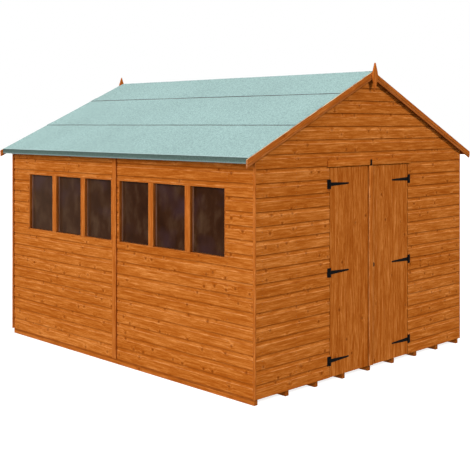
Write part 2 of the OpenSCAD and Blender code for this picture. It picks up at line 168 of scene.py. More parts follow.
def looseParts(node):
    # the separate solids of a CAD node, each as clean faces
    bm = bmesh.new()
    bm.from_mesh(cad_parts[node].data)
    bmesh.ops.remove_doubles(bm, verts=bm.verts, dist=weldDistance)
    bmesh.ops.dissolve_limit(bm, angle_limit=flatAngle, verts=bm.verts, edges=bm.edges)
    seen, parts = set(), []
    for start in bm.verts:
        if start in seen:
            continue
        group, queue = [], [start]
        seen.add(start)
        while queue:
            v = queue.pop()
            group.append(v)
            for e in v.link_edges:
                other = e.other_vert(v)
                if other not in seen:
                    seen.add(other)
                    queue.append(other)
        part = bmesh.new()
        copies = {v: part.verts.new(v.co) for v in group}
        faces = {f for v in group for f in v.link_faces}
        for f in sorted(faces, key=lambda f: f.index):
            part.faces.new([copies[v] for v in f.verts])
        parts.append(closedSolid(part))
    bm.free()
    parts.sort(key=lambda p: tuple(round(c, 4) for c in partBox(p)[0]))
    return parts


def partBoxes(node):
    boxes = []
    for part in looseParts(node):
        boxes.append(partBox(part))
        part.free()
    return boxes


def longestWay(bm):
    edge = max(bm.edges, key=lambda e: (round(e.calc_length(), 5), e.verts[0].co.z))
    return (edge.verts[1].co - edge.verts[0].co).normalized()


def seedOf(name, number=0):
    return sum(map(ord, name)) * 100 + number


def dressTimber(node, body, finish, edge=0.0015, edgePale=0.25):
    # planed timber cut as the CAD has it, with its edges eased and its own grain
    stack = emptyStack()
    for i, part in enumerate(looseParts(node)):
        way = longestWay(part)
        addSolid(stack, softened(part, edge), way, seedOf(node, i), edgePale=edgePale)
    makePiece(stack, node + "_timber", body, [finish], [node])


head = dict(
    shape=((1.0, 0.0), (1.0, 0.35), (0.86, 0.8)),   # shares of radius and height, from the foot
    rim=0.08,       # round the recess of a screw, as a share of its radius
    recess=0.35,    # its depth, as a share of the height
)


def disc(centre, normal, radius, height, sides=12, crown=0.4, recessed=False):
    # a low round head lying on a face: nail, screw or pin
    bm = bmesh.new()
    turn = Vector((0, 0, 1)).rotation_difference(Vector(normal)).to_matrix().to_4x4()
    place = Matrix.Translation(centre) @ turn
    turns = [2 * math.pi * i / sides for i in range(sides)]
    top = skin(bm, [[place @ Vector((radius * reach * math.cos(t),
                                     radius * reach * math.sin(t), height * rise))
                     for t in turns] for reach, rise in head["shape"] + ((crown, 1.0),)])
    if recessed:
        bmesh.ops.inset_individual(bm, faces=[top], thickness=radius * head["rim"],
                                   depth=-height * head["recess"])
    return closedSolid(bm)


# short ways to wire a material

def newMaterial(name):
    material = bpy.data.materials.new(name)
    material.use_nodes = True
    tree = material.node_tree
    return material, tree, tree.nodes["Principled BSDF"]


def addNode(tree, kind, **values):
    node = tree.nodes.new(kind)
    for key, value in values.items():
        setattr(node, key, value)
    return node


def readMesh(tree, name, output="Fac"):
    return addNode(tree, "ShaderNodeAttribute", attribute_name=name).outputs[output]


def objectPlace(tree):
    return addNode(tree, "ShaderNodeTexCoord").outputs["Object"]


def stretched(tree, source, scale):
    mapping = addNode(tree, "ShaderNodeMapping")
    mapping.inputs["Scale"].default_value = scale
    tree.links.new(source, mapping.inputs["Vector"])
    return mapping.outputs["Vector"]


def noiseOf(tree, vector, scale, detail=4, rough=0.55, warp=0.0):
    node = addNode(tree, "ShaderNodeTexNoise")
    node.inputs["Scale"].default_value = scale
    node.inputs["Detail"].default_value = detail
    node.inputs["Roughness"].default_value = rough
    node.inputs["Distortion"].default_value = warp
    tree.links.new(vector, node.inputs["Vector"])
    return node.outputs["Fac"]


def rampOf(tree, source, stops):
    ramp = addNode(tree, "ShaderNodeValToRGB")
    elements = ramp.color_ramp.elements
    while len(elements) < len(stops):
        elements.new(0.5)
    for element, (place, colour) in zip(elements, stops):
        element.position = place
        element.color = (*colour, 1)
    tree.links.new(source, ramp.inputs["Fac"])
    return ramp.outputs["Color"]


def plugIn(tree, socket, value):
    if isinstance(value, (int, float)):
        socket.default_value = value
    elif isinstance(value, tuple):
        socket.default_value = (*value, 1)
    else:
        tree.links.new(value, socket)


def mathOf(tree, kind, a, b, clamp=False):
    node = addNode(tree, "ShaderNodeMath", operation=kind, use_clamp=clamp)
    plugIn(tree, node.inputs[0], a)
    plugIn(tree, node.inputs[1], b)
    return node.outputs["Value"]


def mixOf(tree, kind, amount, a, b):
    node = addNode(tree, "ShaderNodeMix", data_type="RGBA", blend_type=kind)
    for socket, value in ((node.inputs[0], amount), (node.inputs[6], a), (node.inputs[7], b)):
        plugIn(tree, socket, value)
    return node.outputs[2]


def spread(tree, source, low, high, toLow=0.0, toHigh=1.0):
    node = addNode(tree, "ShaderNodeMapRange")
    for key, value in (("From Min", low), ("From Max", high), ("To Min", toLow),
                       ("To Max", toHigh)):
        node.inputs[key].default_value = value
    tree.links.new(source, node.inputs["Value"])
    return node.outputs["Result"]


def varied(tree, colour, source, low, high, deep, lean=(1.0, 1.0, 1.0)):
    # darker where the source is low, lighter where it is high
    dark = tuple(1 - deep * share for share in lean)
    light = tuple(1 + deep * share for share in lean)
    return mixOf(tree, "MULTIPLY", 1.0, colour,
                 rampOf(tree, source, [(low, dark), (high, light)]))


def weatheredAndShaded(tree, colour, wearAndShade, wornBy, worn, dirtyBy, dirt):
    # the pale colour shows where the value is above zero, for worn edges and painted highlights,
    # and the dark colour where it is below, for dirt and painted shade
    for amount, shown in ((wornBy, worn), (dirtyBy, dirt)):
        colour = mixOf(tree, "MIX", mathOf(tree, "MULTIPLY", wearAndShade, amount, clamp=True),
                       colour, shown)
    return colour


def bumpOf(tree, height, strength, distance, surface):
    bump = addNode(tree, "ShaderNodeBump")
    bump.inputs["Strength"].default_value = strength
    bump.inputs["Distance"].default_value = distance
    tree.links.new(height, bump.inputs["Height"])
    tree.links.new(bump.outputs["Normal"], surface.inputs["Normal"])


woodLook = dict(
    bandStretch=(1.6, 30.0, 30.0),      # broad pale and dark bands, in turns for each metre
    streakStretch=(5.0, 95.0, 95.0),    # narrower streaks
    fineStretch=(30.0, 300.0, 300.0),   # grain lines seen from near
    streakShare=0.50,
    bandShare=0.22,
    fineShare=0.20,
    figureStops=(0.41, 0.50, 0.59),     # where the dark, middle and light colours lie
    patchStretch=(3.0, 7.0, 7.0),       # stain taken up unevenly
    patchDepth=0.05,
    mottleStretch=(8.0, 62.0, 62.0),    # short flecks
    mottleDepth=0.09,
    boardContrast=0.12,
    stainLean=(1.0, 1.7, 3.6),          # how much more green and blue change than red
    knotCells=7.5,                      # places for a knot in each metre
    knotSize=0.105,
    knotShare=0.50,                     # share of places that hold no knot
    knotDark=0.60,
    knotTint=(0.36, 0.24, 0.16),
    knotSwing=0.016,                    # how far a knot pushes the grain aside
    dirt=(0.150, 0.030, 0.002),         # what gathers in joints and on cut ends, and the colour of painted shade
    worn=(0.76, 0.340, 0.120),          # bare wood on worn edges, and the colour of painted highlights
    roughness=0.66,
    specular=0.02,
    bump=0.35,
    bumpHeight=0.0010,
)


def stainedWood(name, dark, middle, light, **changes):
    look = {**woodLook, **changes}
    material, tree, surface = newMaterial(name)
    grain = readMesh(tree, grainName, "Vector")
    tone = readMesh(tree, toneName)
    wearAndShade = readMesh(tree, wearAndShadeName)

    # a few cells hold a knot, and the grain swings round it
    cells = addNode(tree, "ShaderNodeTexVoronoi", voronoi_dimensions="2D")
    cells.inputs["Scale"].default_value = look["knotCells"]
    tree.links.new(grain, cells.inputs["Vector"])
    cellPick = addNode(tree, "ShaderNodeSeparateColor")
    tree.links.new(cells.outputs["Color"], cellPick.inputs["Color"])
    held = mathOf(tree, "GREATER_THAN", cellPick.outputs[0], look["knotShare"])
    size = look["knotSize"]
    near = mathOf(tree, "MULTIPLY", held, spread(
        tree, cells.outputs["Distance"], 0.0, size * 3.5, 1.0, 0.0))
    core = mathOf(tree, "MULTIPLY", held, spread(
        tree, cells.outputs["Distance"], size * 0.5, size * 1.3, 1.0, 0.0))
    shove = addNode(tree, "ShaderNodeCombineXYZ")
    swing = mathOf(tree, "MULTIPLY", near, look["knotSwing"])
    tree.links.new(swing, shove.inputs["Y"])
    tree.links.new(swing, shove.inputs["Z"])
    swung = addNode(tree, "ShaderNodeVectorMath", operation="ADD")
    tree.links.new(grain, swung.inputs[0])
    tree.links.new(shove.outputs["Vector"], swung.inputs[1])
    flowing = swung.outputs["Vector"]

    bands = noiseOf(tree, stretched(tree, flowing, look["bandStretch"]), 1.0, 3, 0.5, 0.6)
    streaks = noiseOf(tree, stretched(tree, flowing, look["streakStretch"]), 1.0, 4, 0.6, 0.2)
    fine = noiseOf(tree, stretched(tree, flowing, look["fineStretch"]), 1.0, 2, 0.5)
    patches = noiseOf(tree, stretched(tree, grain, look["patchStretch"]), 1.0, 3, 0.55)
    figure = mathOf(tree, "ADD", mathOf(tree, "MULTIPLY", streaks, look["streakShare"]),
                    mathOf(tree, "ADD", mathOf(tree, "MULTIPLY", bands, look["bandShare"]),
                           mathOf(tree, "MULTIPLY", fine, look["fineShare"])))
    colour = rampOf(tree, figure, list(zip(look["figureStops"], (dark, middle, light))))
    mottle = noiseOf(tree, stretched(tree, flowing, look["mottleStretch"]), 1.0, 3, 0.6)
    for source, low, high, deep in [(patches, 0.32, 0.68, look["patchDepth"]),
                                    (mottle, 0.34, 0.66, look["mottleDepth"]),
                                    (tone, 0.0, 1.0, look["boardContrast"] / 2)]:
        colour = varied(tree, colour, source, low, high, deep, look["stainLean"])
    colour = mixOf(tree, "MULTIPLY", mathOf(tree, "MULTIPLY", core, look["knotDark"]),
                   colour, look["knotTint"])
    # wear, painted highlights and painted shade break up along the flecks, so that they are not
    # an even line
    colour = weatheredAndShaded(tree, colour, wearAndShade, spread(tree, mottle, 0.40, 0.60, 0.20, 1.20),
                       look["worn"], spread(tree, mottle, 0.36, 0.64, -0.60, -1.10),
                       look["dirt"])
    tree.links.new(colour, surface.inputs["Base Color"])
    surface.inputs["Roughness"].default_value = look["roughness"]
    surface.inputs["Specular IOR Level"].default_value = look["specular"]
    height = mathOf(tree, "ADD", streaks, mathOf(tree, "MULTIPLY", fine, 0.5))
    bumpOf(tree, height, look["bump"], look["bumpHeight"], surface)
    return material


wallWood = stainedWood("stained_shiplap", (0.355, 0.086, 0.007), (0.462, 0.138, 0.0205),
                       (0.590, 0.210, 0.048))
doorWood = stainedWood("stained_matchboard", (0.312, 0.070, 0.005), (0.432, 0.128, 0.0185),
                       (0.560, 0.192, 0.044), boardContrast=0.06, knotShare=0.86)
trimWood = stainedWood("stained_trim", (0.350, 0.088, 0.011), (0.440, 0.124, 0.019),
                       (0.540, 0.170, 0.032), boardContrast=0.08, knotShare=0.93)
# the pale colour of the roof trim paints highlights on the barge boards
roofTrimWood = stainedWood("stained_roof_trim", (0.320, 0.078, 0.009),
                           (0.405, 0.105, 0.014), (0.520, 0.158, 0.026),
                           boardContrast=0.06, knotShare=0.85, worn=(0.66, 0.50, 0.30))
joistWood = stainedWood("treated_joist", (0.345, 0.084, 0.008), (0.445, 0.126, 0.019),
                        (0.545, 0.175, 0.036), boardContrast=0.06, knotShare=0.8)
bareWood = stainedWood("sawn_framing", (0.390, 0.170, 0.050), (0.520, 0.245, 0.085),
                       (0.620, 0.320, 0.130), roughness=0.75, knotShare=0.6,
                       dirt=(0.20, 0.10, 0.04))
beadWood = stainedWood("glazing_bead", (0.100, 0.045, 0.026), (0.140, 0.064, 0.038),
                       (0.180, 0.086, 0.054), boardContrast=0.05, knotShare=1.0,
                       dirt=(0.050, 0.020, 0.010))

feltLook = dict(
    grit=260.0,         # granules for each metre
    speckle=0.22,       # how much they differ
    dust=420.0,         # finer roughness between them
    clumps=60.0,
    clumpDepth=0.20,
    clouds=1.6,
    cloudDepth=0.03,
    bitumen=(0.030, 0.034, 0.034),
    rubbed=(0.52, 0.66, 0.66),
    roughness=0.92,
    specular=0.12,
    bump=0.5,
    bumpHeight=0.0012,
)


def mineralFelt(name, colour):
    # slate granules pressed into bitumen felt
    material, tree, surface = newMaterial(name)
    look = feltLook
    place = objectPlace(tree)
    dust = noiseOf(tree, place, look["dust"], 2, 0.7)
    grains = addNode(tree, "ShaderNodeTexVoronoi")
    grains.inputs["Scale"].default_value = look["grit"]
    tree.links.new(place, grains.inputs["Vector"])
    pick = addNode(tree, "ShaderNodeSeparateColor")
    tree.links.new(grains.outputs["Color"], pick.inputs["Color"])
    clumps = noiseOf(tree, place, look["clumps"], 3, 0.7)
    clouds = noiseOf(tree, place, look["clouds"], 3, 0.5)
    for source, low, high, deep in [(pick.outputs[0], 0.0, 1.0, look["speckle"]),
                                    (clumps, 0.34, 0.66, look["clumpDepth"]),
                                    (clouds, 0.35, 0.65, look["cloudDepth"])]:
        colour = varied(tree, colour, source, low, high, deep)
    colour = weatheredAndShaded(tree, colour, readMesh(tree, wearAndShadeName), 1.0, look["rubbed"],
                       -1.0, look["bitumen"])
    tree.links.new(colour, surface.inputs["Base Color"])
    surface.inputs["Roughness"].default_value = look["roughness"]
    surface.inputs["Specular IOR Level"].default_value = look["specular"]
    bumpOf(tree, mathOf(tree, "ADD", dust, grains.outputs["Distance"]), look["bump"],
           look["bumpHeight"], surface)
    return material


feltTop = mineralFelt("mineral_felt_green", (0.251, 0.369, 0.357))
# a darker copy of the same felt, for painted shade on the strip turned down over the eaves
feltFoldShaded = mineralFelt("mineral_felt_fold_shaded", (0.077, 0.120, 0.105))


ironLook = dict(
    clean=(0.002, 0.002, 0.002),
    dusty=(0.007, 0.007, 0.007),
    dust=35.0,
    polish=0.45,        # roughness where it is clean
    dull=0.62,
    skin=900.0,         # fine bumps of the coating
    specular=0.10,
    bump=0.25,
    bumpHeight=0.0003,
)


def blackIron(name):
    material, tree, surface = newMaterial(name)
    look = ironLook
    place = objectPlace(tree)
    skinBumps = noiseOf(tree, place, look["skin"], 3, 0.6)
    dust = noiseOf(tree, place, look["dust"], 4, 0.6)
    tree.links.new(rampOf(tree, dust, [(0.35, look["clean"]), (0.75, look["dusty"])]),
                   surface.inputs["Base Color"])
    tree.links.new(spread(tree, dust, 0.3, 0.7, look["polish"], look["dull"]),
                   surface.inputs["Roughness"])
    surface.inputs["Specular IOR Level"].default_value = look["specular"]
    bumpOf(tree, skinBumps, look["bump"], look["bumpHeight"], surface)
    return material


ironFinish = blackIron("black_powder_coat")


def speckled(name, scale, dark, light, roughness, metallic=0.0, bump=0.0):
    material, tree, surface = newMaterial(name)
    specks = noiseOf(tree, objectPlace(tree), scale, 3, 0.6)
    tree.links.new(rampOf(tree, specks, [(0.35, dark), (0.70, light)]),
                   surface.inputs["Base Color"])
    surface.inputs["Metallic"].default_value = metallic
    surface.inputs["Roughness"].default_value = roughness
    if bump:
        bumpOf(tree, specks, bump, 0.001, surface)
    return material


nailFinish = speckled("stained_nail_head", 300.0, (0.110, 0.055, 0.025),
                      (0.240, 0.150, 0.090), 0.5, metallic=0.3)
# black bitumen at the laps, which also paints the shadow under each lap
bitumenAndShadowFinish = speckled("lap_bitumen_and_shadow", 140.0, (0.020, 0.023, 0.023),
                         (0.060, 0.070, 0.068), 0.6, bump=0.4)

glassLook = dict(
    opacity=0.89,
    # painted shade of the dim room behind the glass
    roomShade=((0.32, (0.024, 0.007, 0.002)), (0.50, (0.037, 0.012, 0.004)),
          (0.70, (0.072, 0.035, 0.017))),
    roomShadeStretch=(4.0, 6.5, 4.0),
    cast=(0.046, 0.022, 0.026),         # colour of the larger clouds
    castStretch=(2.6, 2.6, 3.4),
    castDepth=0.75,
    skyReflection=(0.110, 0.068, 0.042),          # painted sky reflection on the panes at the back end
    reflectionFrom=-0.4,                       # where that begins and is full, along the wall
    reflectionTo=1.6,
    reflectionDepth=0.28,
    roughness=0.10,
    specular=0.10,
)


def paneGlass(name):
    # dark glass with faint clouds in it: its dark colour is painted shade of a dim room behind,
    # and the panes at the back end get a painted sky reflection
    material, tree, surface = newMaterial(name)
    look = glassLook
    place = objectPlace(tree)
    roomShade = noiseOf(tree, stretched(tree, place, look["roomShadeStretch"]), 1.0, 5, 0.55, 0.2)
    cast = noiseOf(tree, stretched(tree, place, look["castStretch"]), 1.0, 2, 0.5)
    colour = mixOf(tree, "MIX", spread(tree, cast, 0.50, 0.72, 0.0, look["castDepth"]),
                   rampOf(tree, roomShade, look["roomShade"]), look["cast"])
    split = addNode(tree, "ShaderNodeSeparateXYZ")
    tree.links.new(place, split.inputs["Vector"])
    skyReflection = spread(tree, split.outputs["Y"], look["reflectionFrom"], look["reflectionTo"], 0.0,
                 look["reflectionDepth"])
    colour = mixOf(tree, "MIX", skyReflection, colour, look["skyReflection"])
    tree.links.new(colour, surface.inputs["Base Color"])
    surface.inputs["Roughness"].default_value = look["roughness"]
    surface.inputs["Specular IOR Level"].default_value = look["specular"]
    surface.inputs["Alpha"].default_value = look["opacity"]
    return material


glassFinish = paneGlass("window_glazing")
print("materials made")


# sizes read from the frame

wallLow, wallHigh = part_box("left_wall_front")
gableLow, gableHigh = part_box("front_wall_left")
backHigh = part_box("back_wall")[1]
halfW = -wallLow.x
halfL = -gableLow.y
boardT = wallHigh.x - wallLow.x
claddingLow = wallLow.z
eavesZ = wallHigh.z
jointY = wallHigh.y         # where the front and back side panels meet
doorEdge = -gableHigh.x
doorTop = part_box("front_wall_over_door")[0].z
slope = (backHigh.z - eavesZ) / halfW
pitch = math.atan(slope)


def roofUnder(x):
    return eavesZ + (halfW - abs(x)) * slope


shiplap = dict(
    cover=0.115,        # height of board that shows
    coveDepth=0.0050,   # how far the scooped top edge goes in
    coveHeight=0.0320,
    coveSteps=5,
    arris=0.0016,       # eased lower edge
    seam=0.0010,        # gap between one board and the next
    seamStep=0.0005,    # depth of its back edge behind the cove
    tipGap=0.002,       # under the peak of a gable
    backChamfer=0.0012,
    # the lip gets a painted highlight, and the cove and the lower edge get painted shade
    litLipBand=0.0065,     # height of the painted highlight line on the lip of the cove
    lipHighlight=0.56,
    dripShadeBand=0.0050,    # height of the painted shade line on the lower edge
    dripShade=-0.25,
    coveShade=-0.82,
    coveShadeFrom=0.6,       # share of the cove left without painted shade
    cutWear=-0.80,
    nailRadius=0.0028,
    nailRise=0.0005,
    nailInset=0.022,    # from a board's lower edge
    topNailInset=0.048,
    nailClear=0.010,    # below the eaves
    gableNailClear=0.030,
)


def shiplapOutline(low, high):
    # a board's section as (out from the face, height), from the back round to the back
    s = shiplap
    top = high - s["seam"]
    lip = top - s["coveHeight"]
    points = [(-boardT, low + s["backChamfer"]), (-boardT + s["backChamfer"], low),
              (-s["arris"], low), (0.0, low + s["arris"]), (0.0, low + s["dripShadeBand"]),
              (0.0, lip - s["litLipBand"])]
    for i in range(s["coveSteps"] + 1):
        turn = math.pi / 2 * i / s["coveSteps"]
        points.append((-s["coveDepth"] * math.sin(turn),
                       top - s["coveHeight"] * math.cos(turn)))
    points += [(-s["coveDepth"] - s["seamStep"], high), (-boardT + s["backChamfer"], high),
               (-boardT, high - s["backChamfer"])]
    return points


def shiplapWearAndShade(low, high, outOf, alongAxis):
    # painted highlight on the lip, painted shade in the cove and under the lower edge
    s = shiplap
    lip = high - s["seam"] - s["coveHeight"]

    def wearAndShadeAt(co, normal):
        out, z = outOf(co), co.z
        if abs(normal[alongAxis]) > mostly:
            return s["cutWear"]
        if out < -s["coveDepth"] - s["seamStep"] * 2:
            return 0.0
        if z < low + s["arris"] * 1.01:
            return s["dripShade"]
        if abs(z - lip) < slack:
            return s["lipHighlight"]
        if z > lip:
            share = min(1.0, (z - lip) / s["coveHeight"])
            return s["coveShade"] * max(0.0, share - s["coveShadeFrom"]) / (1 - s["coveShadeFrom"])
        return 0.0
    return wearAndShadeAt


def clipped(points, low, high):
    # keeps the part of a section between two heights
    for limit, sign in ((low, 1), (high, -1)):
        kept = []
        for i, here in enumerate(points):
            last = points[i - 1]
            inHere, inLast = sign * (here[1] - limit) >= 0, sign * (last[1] - limit) >= 0
            if inHere != inLast:
                share = (limit - last[1]) / (here[1] - last[1])
                kept.append((last[0] + share * (here[0] - last[0]), limit))
            if inHere:
                kept.append(here)
        points = kept
    tidy = []
    for p in points:
        if not tidy or math.dist(p, tidy[-1]) > 1e-6:
            tidy.append(p)
    if len(tidy) > 1 and math.dist(tidy[0], tidy[-1]) <= 1e-6:
        tidy.pop()
    return tidy


def courses(low, high):
    count = math.ceil((high - low) / shiplap["cover"] - 1e-6)
    return [(low + i * shiplap["cover"], low + (i + 1) * shiplap["cover"])
            for i in range(count)]


def nailHeights(course):
    return course[0] + shiplap["nailInset"], course[1] - shiplap["topNailInset"]


def addNails(stack, spots, normal, along):
    for spot in spots:
        addSolid(stack, disc(Vector(spot), normal, shiplap["nailRadius"],
                             shiplap["nailRise"], sides=8, crown=0.5), along, finish=1)


def sideWall(node, side, start, end, hole=None, studs=()):
    stack = emptyStack()

    def addBoard(course, heights, ends, seed):
        points = clipped(shiplapOutline(*course), *heights)
        if len(points) < 3:
            return
        rows = [[(side * (halfW + out), y, z) for out, z in points] for y in ends]
        addSolid(stack, prism(rows), (0, 1, 0), seed, wearAndShadeAt=shiplapWearAndShade(
            *course, lambda co: side * co.x - halfW, 1))

    for i, course in enumerate(courses(claddingLow, eavesZ)):
        seed = seedOf(node, i)
        low, high = course[0], min(course[1], eavesZ)
        if hole and hole[1][0] < high and hole[1][1] > low:
            (holeA, holeB), (holeLow, holeHigh) = hole
            addBoard(course, (low, high), (start, holeA), seed)
            addBoard(course, (low, high), (holeB, end), seed)
            if low < holeLow:
                addBoard(course, (low, holeLow), (holeA, holeB), seed)
            if high > holeHigh:
                addBoard(course, (holeHigh, high), (holeA, holeB), seed)
        else:
            addBoard(course, (low, high), (start, end), seed)
        for y in studs:
            spots = [(side * halfW, y, z) for z in nailHeights(course)
                     if z < eavesZ - shiplap["nailClear"] and not (
                         hole and hole[0][0] < y < hole[0][1] and hole[1][0] < z < hole[1][1])]
            addNails(stack, spots, (side, 0, 0), (0, 1, 0))
    makePiece(stack, node + "_boards", "root", [wallWood, nailFinish], [node])


def studLines(side, start, end):
    # middles of the studs behind a wall, taken from the framing
    lines = [(low + high) / 2 for low, high in partBoxes("side_wall_studs")]
    return sorted({round(m.y, 4) for m in lines if m.x * side > 0 and start < m.y < end})


railBoxes = sorted(partBoxes("window_rails"), key=lambda b: (round(b[0].z, 3), b[0].y))
windowLow = min(low.z for low, high in railBoxes)
windowHigh = max(high.z for low, high in railBoxes)
frontHole = [(low.y, high.y) for low, high in railBoxes if high.y < jointY][0]
backHole = [(low.y, high.y) for low, high in railBoxes if low.y > jointY][0]
panelEnds = (wallLow.y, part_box("left_wall_back")[1].y)

for side, wall in ((-1, "left_wall"), (1, "right_wall")):
    for part, start, end, gap in (("_front", panelEnds[0], jointY, frontHole),
                                  ("_back", jointY, panelEnds[1], backHole)):
        sideWall(wall + part, side, start, end,
                 (gap, (windowLow, windowHigh)) if side < 0 else None,
                 studLines(side, start, end))


def addGableBoard(stack, course, heights, edges, face, seed):
    # a board across a gable, cut to the roof slope where it reaches it
    low, high = heights
    for band in ((low, min(high, eavesZ)), (max(low, eavesZ), high)):
        if band[1] - band[0] < slack:
            continue
        outline = clipped(shiplapOutline(*course), *band)
        if len(outline) < 3:
            continue
        rows = []
        for edge in edges:
            row = []
            for out, z in outline:
                limit = halfW - max(0.0, z - eavesZ) / slope
                row.append((max(-limit, min(limit, edge)), face * (halfL + out), z))
            rows.append(row)
        bm = prism(rows)
        bmesh.ops.remove_doubles(bm, verts=bm.verts, dist=weldDistance)
        addSolid(stack, closedSolid(bm), (1, 0, 0), seed, wearAndShadeAt=shiplapWearAndShade(
            *course, lambda co: face * co.y - halfL, 0))


def gableWall(name, nodes, face, studs, doorway=None):
    # boards run the whole width above a doorway, and stop at its sides below its top
    stack = emptyStack()
    tip = roofUnder(0) - shiplap["tipGap"]
    for i, course in enumerate(courses(claddingLow, tip)):
        seed = seedOf(name, i)
        low, high = course[0], min(course[1], tip)
        if doorway and low < doorTop:
            addGableBoard(stack, course, (low, high), (-halfW, -doorway), face, seed)
            addGableBoard(stack, course, (low, high), (doorway, halfW), face, seed)
            if high > doorTop:
                addGableBoard(stack, course, (doorTop, high), (-doorway, doorway), face, seed)
        else:
            addGableBoard(stack, course, (low, high), (-halfW, halfW), face, seed)
        for x in studs:
            spots = [(x, face * halfL, z) for z in nailHeights(course)
                     if z < roofUnder(x) - shiplap["gableNailClear"]
                     and not (doorway and abs(x) < doorway and z < doorTop)]
            addNails(stack, spots, (0, face, 0), (1, 0, 0))
    makePiece(stack, name + "_boards", "root", [wallWood, nailFinish], nodes)


gableStuds = [(low + high) / 2 for low, high in partBoxes("gable_studs")]
frontStuds = sorted({round(m.x, 4) for m in gableStuds if m.y < 0})
backStuds = sorted({round(m.x, 4) for m in gableStuds if m.y > 0})
gableWall("front_wall", ["front_wall_left", "front_wall_right", "front_wall_over_door"],
          -1, frontStuds, doorEdge)
gableWall("back_wall", ["back_wall"], 1, backStuds)
print("walls boarded")


# trims, framing and floor joists keep the sections that the frame gives them

for node, edge in (("corner_strips", 0.0020), ("panel_cover_strips", 0.0025),
                   ("window_posts", 0.0020), ("window_rails", 0.0015),
                   ("eaves_battens", 0.0015)):
    dressTimber(node, "root", trimWood, edge, 0.12)
dressTimber("door_head_trim", "root", wallWood, 0.0015, 0.0)
for node in ("gable_studs", "gable_rails", "side_wall_studs", "side_wall_rails",
             "purlins", "truss_rafters", "truss_tie"):
    dressTimber(node, "root", bareWood)

joists = dict(
    edge=0.0015,
    edgePale=0.10,
    shadowBand=0.016,    # painted shadow line where the wall boards end over an outer joist
    shadowFade=0.004,
    paintedShadow=-0.70,
    outerZone=0.1,      # a joist this near the wall's face is an outer one
    endTone=-0.50,
    flatFrom=0.95,      # what looks less straight than this is an eased edge
)


def floorJoists():
    # as the frame has them, with a painted shadow line along the top of the outer ones
    stack = emptyStack()
    j = joists
    dark = min(claddingLow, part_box("floor_joists")[1].z) - j["shadowBand"]
    for i, part in enumerate(looseParts("floor_joists")):
        softened(part, j["edge"])
        for height in (dark, dark - j["shadowFade"]):
            bmesh.ops.bisect_plane(part, geom=part.verts[:] + part.edges[:] + part.faces[:],
                                   dist=weldDistance, plane_co=(0, 0, height),
                                   plane_no=(0, 0, 1))

        def wearAndShadeAt(co, normal):
            # painted shadow under the lower edge of the wall boards
            if abs(normal.x) > nearlyFlat and abs(co.x) > halfW - j["outerZone"]:
                return j["paintedShadow"] if co.z > dark - weldDistance else 0.0
            if abs(normal.y) > nearlyFlat:
                return j["endTone"]
            return j["edgePale"] if max(map(abs, normal)) < j["flatFrom"] else 0.0

        addSolid(stack, part, (0, 1, 0), seedOf("floor_joists", i), wearAndShadeAt=wearAndShadeAt)
    makePiece(stack, "floor_joists_timber", "root", [joistWood],
              ["floor_joists"])


floorJoists()
print("timbers dressed")


barge = dict(
    topArris=0.0050,
    lowerBand=0.0220,   # height of the moulded lower edge
    lowerIn=0.0055,     # how far it slopes back
    footRound=0.001,
    groove=0.0015,
    # painted highlights on the top, the lower edge and the plumb cuts; a darker upper arris, and
    # painted shade in the groove
    topHighlight=0.92,
    arrisAndGrooveDark=-0.80,
    lowerHighlight=0.04,
    endTone=0.30,
    spearEdge=0.0030,
    spearShade=-0.75,    # painted shade on its side away from the windows
)


def bargeBoards(node, face):
    # each board has a sharp darker upper arris, a small groove with painted shade in it and a
    # moulded lower edge, with painted highlights on its top, its lower edge and its ends
    stack = emptyStack()
    b = barge
    for n, (low, high) in enumerate(partBoxes(node)):
        side = 1 if low.x + high.x > 0 else -1
        inner, outer = sorted((abs(low.x), abs(high.x)))
        tall = (high.z - low.z) - (outer - inner) * slope
        front, rear = (low.y, high.y) if face < 0 else (high.y, low.y)
        foot = tall - b["lowerBand"]
        section = [(rear, 0.0), (front - face * b["topArris"], 0.0),
                   (front, b["topArris"]), (front, foot - b["groove"] * 2),
                   (front - face * b["groove"] * 1.6, foot - b["groove"]),
                   (front - face * b["groove"], foot),
                   (front - face * b["lowerIn"], tall - b["footRound"]),
                   (front - face * (b["lowerIn"] + b["footRound"]), tall), (rear, tall)]
        rows = [[(side * x, y, high.z - (x - inner) * slope - v) for y, v in section]
                for x in (inner, outer)]

        def wearAndShadeAt(co, normal):
            v = high.z - (abs(co.x) - inner) * slope - co.z     # down from the upper edge
            if abs(normal.x) > 0.97:    # the plumb cuts at the ends, with a painted highlight
                return b["endTone"]
            if normal.z > 0.85:         # the top, with a painted highlight
                return b["topHighlight"]
            if normal.z > 0.3:          # the darker arris in front of it
                return b["arrisAndGrooveDark"]
            # painted highlight on the moulded lower edge
            if v > foot - slack / 2 and normal.y * face > 0.2:
                return b["lowerHighlight"]
            if v > foot - b["groove"] * 2.1 and abs(normal.z) > 0.2:    # painted shade inside the groove
                return b["arrisAndGrooveDark"]
            return 0.0

        addSolid(stack, prism(rows), (side * math.cos(pitch), 0, -math.sin(pitch)),
                 seedOf(node, n), wearAndShadeAt=wearAndShadeAt)
    makePiece(stack, node + "_moulded", "root", [roofTrimWood], [node])


def finialSpear(node):
    # the flat spear over the joint of two barge boards, with its edges cut back and painted
    # shade on its side away from the windows
    stack = emptyStack()
    for part in looseParts(node):
        addSolid(stack, softened(part, barge["spearEdge"], 1), (0, 0, 1), seedOf(node),
                 wearAndShadeAt=lambda co, normal: barge["spearShade"] if normal.x > 0.3 else 0.0)
    makePiece(stack, node + "_spear", "root", [roofTrimWood], [node])


for end, face in (("front", -1), ("back", 1)):
    bargeBoards(end + "_barge_boards", face)
    finialSpear(end + "_finial")
print("roof trims shaped")


# roof boards and floor boards are tongued, with a small vee between them

matching = dict(cover=0.105, vee=0.0022, seam=0.0004)


